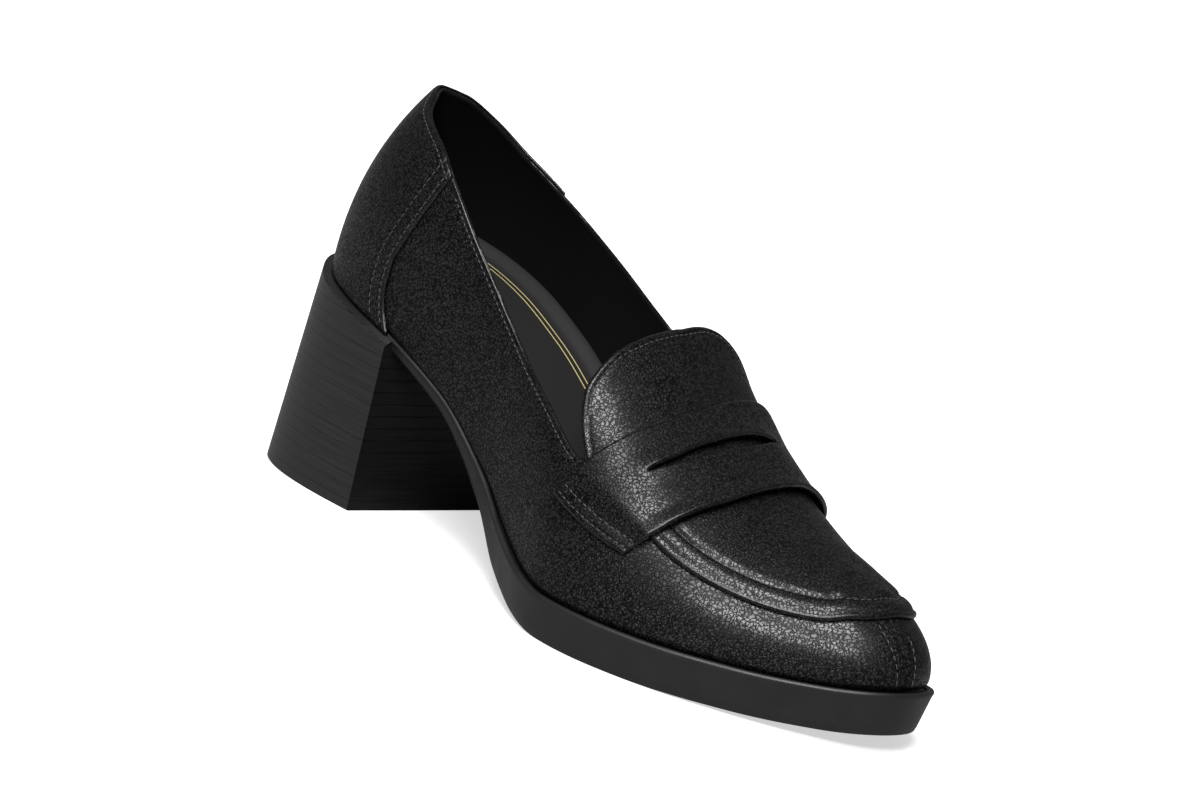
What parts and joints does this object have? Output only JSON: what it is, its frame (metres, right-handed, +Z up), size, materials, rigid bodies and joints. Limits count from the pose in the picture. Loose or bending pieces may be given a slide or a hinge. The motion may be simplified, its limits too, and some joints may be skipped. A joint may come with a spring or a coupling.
{
  "type": "heeled penny loafer",
  "caption": "Right-foot black leather penny loafer on a high block heel, with saddle strap, raised tongue and rubber sole.",
  "frame": {"origin": "centre of the heel block's ground face, on the floor", "axes": "+X towards the toe, +Y towards the inner side of the right foot, +Z up"},
  "size_m": [0.2389, 0.0922, 0.1188],
  "materials": {
    "leather": "black pebbled, semi-gloss",
    "sole_rubber": "black, matte",
    "stacked_heel": "black satin, stacked layers with a fine brushed grain",
    "sock": "dark grey smooth lining leather with thin gold lines"
  },
  "bodies": {
    "root": {"outsole": "sole_rubber", "heel_block": "stacked_heel", "insole": "sock", "upper": "leather", "back_counter": "leather", "apron": "leather", "tongue": "leather", "saddle_strap": "leather"}
  },
  "joints": []
}
